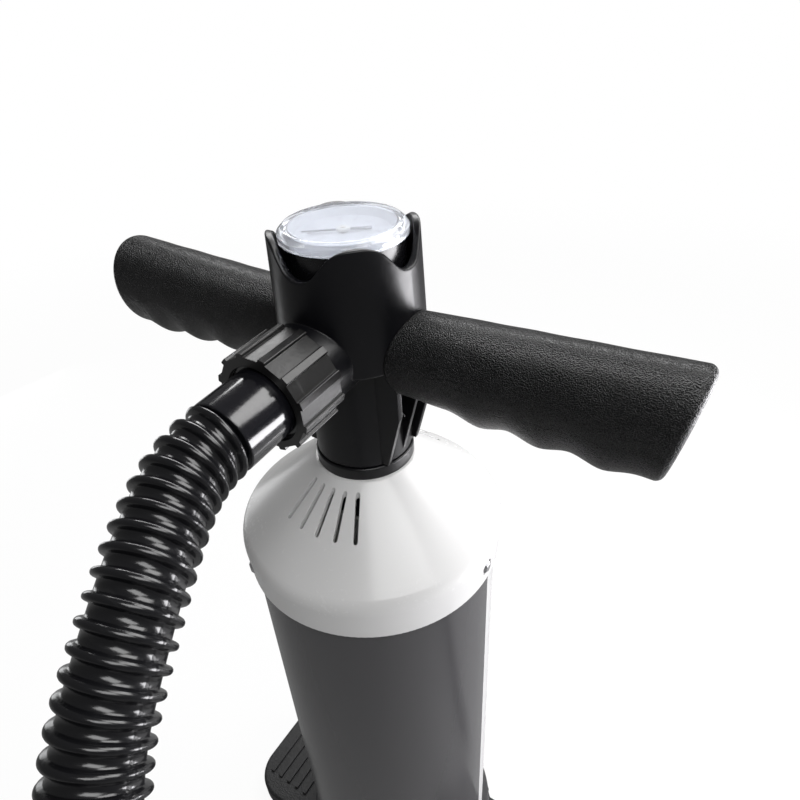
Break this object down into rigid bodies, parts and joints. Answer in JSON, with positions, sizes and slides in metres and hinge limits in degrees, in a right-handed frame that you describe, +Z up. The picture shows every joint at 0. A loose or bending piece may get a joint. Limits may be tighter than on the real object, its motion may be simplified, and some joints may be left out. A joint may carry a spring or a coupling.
{
  "type": "double action hand pump",
  "caption": "Tall hand air pump: vented barrel on a foot base, T handle with dial gauge and corrugated hose on a screwed outlet; the handle slides up and down.",
  "frame": {"origin": "centre of the foot base on the floor, under the barrel's axis", "axes": "+Z up along the barrel, X along the handle, the hose outlet points to -Y"},
  "size_m": [0.5596, 0.366, 0.5206],
  "materials": {
    "base_plastic": "satin moulded",
    "seal_rubber": "moulded",
    "inner_plastic": "plain moulded",
    "screw_steel": "pan head",
    "barrel_white": "extruded tube",
    "collar_black": "turned",
    "cap_white": "gloss",
    "rod_aluminium": "drawn tube",
    "handle_black": "satin moulded",
    "grip_black": "pebble grain",
    "nut_black": "moulded",
    "cuff_black": "gloss",
    "hose_black": "corrugated gloss",
    "adapter_grey": "moulded",
    "gauge_black": "satin",
    "movement_brass": "plain",
    "dial_white": "printed",
    "needle_dark": "painted",
    "lens_clear": "clear moulded"
  },
  "bodies": {
    "pump_base": {"foot_base": "base_plastic", "base_seal_ring": "seal_rubber", "base_valve_pin": "inner_plastic", "base_screws": "screw_steel", "barrel_tube": "barrel_white", "top_head": "inner_plastic", "top_head_seal": "seal_rubber", "rod_seal": "seal_rubber", "rod_guide_collar": "collar_black", "top_cap": "cap_white", "cap_screws": "screw_steel", "hose_end_cuff": "cuff_black", "valve_adapter": "adapter_grey", "adapter_gasket": "seal_rubber"},
    "handle": {"piston_rod": "rod_aluminium", "rod_foot_pin": "screw_steel", "rod_top_pin": "screw_steel", "piston_upper": "inner_plastic", "piston_lower": "inner_plastic", "piston_seal": "seal_rubber", "piston_valve_pin": "inner_plastic", "piston_screws": "screw_steel", "handle_body": "handle_black", "grip_right": "grip_black", "grip_left": "grip_black", "hose_gasket": "seal_rubber", "hose_cuff": "cuff_black", "hose_tube": "hose_black", "gauge_case": "gauge_black", "gauge_gasket": "seal_rubber", "gauge_movement": "movement_brass", "gauge_dial": "dial_white", "gauge_lens": "lens_clear"},
    "hose_nut_body": {"hose_nut": "nut_black"},
    "gauge_needle_body": {"gauge_needle": "needle_dark"},
    "base_intake_valve_body": {"base_intake_valve": "seal_rubber"},
    "top_intake_valve_body": {"top_intake_valve": "seal_rubber"},
    "piston_upper_valve_body": {"piston_upper_valve": "seal_rubber"},
    "piston_lower_valve_body": {"piston_lower_valve": "seal_rubber"}
  },
  "joints": [
    {"name": "handle_slide", "type": "slide", "parent": "pump_base", "child": "handle", "axis": [0, 0, 1], "range_m": [0, 0.266], "deforming": ["hose_tube"]},
    {"name": "hose_nut_turn", "type": "hinge", "parent": "handle", "child": "hose_nut_body", "pos_m": [0, 0, 0.4735], "axis": [0, -0.9976, -0.0698], "range_deg": [0, 540]},
    {"name": "gauge_needle_turn", "type": "hinge", "parent": "handle", "child": "gauge_needle_body", "pos_m": [0, 0, 0.516], "axis": [0, 0, -1], "range_deg": [0, 270], "stiffness_Nm_per_rad": 0.0001},
    {"name": "base_intake_lift", "type": "slide", "parent": "pump_base", "child": "base_intake_valve_body", "axis": [0, 0, 1], "range_m": [0, 0.0015], "stiffness_N_per_m": 60, "springref_m": -0.002},
    {"name": "top_intake_lift", "type": "slide", "parent": "pump_base", "child": "top_intake_valve_body", "axis": [0, 0, -1], "range_m": [0, 0.0015], "stiffness_N_per_m": 60, "springref_m": -0.002},
    {"name": "piston_upper_lift", "type": "slide", "parent": "handle", "child": "piston_upper_valve_body", "axis": [0, 0, -1], "range_m": [0, 0.0015], "stiffness_N_per_m": 60, "springref_m": -0.002},
    {"name": "piston_lower_lift", "type": "slide", "parent": "handle", "child": "piston_lower_valve_body", "axis": [0, 0, 1], "range_m": [0, 0.0015], "stiffness_N_per_m": 60, "springref_m": -0.002}
  ]
}
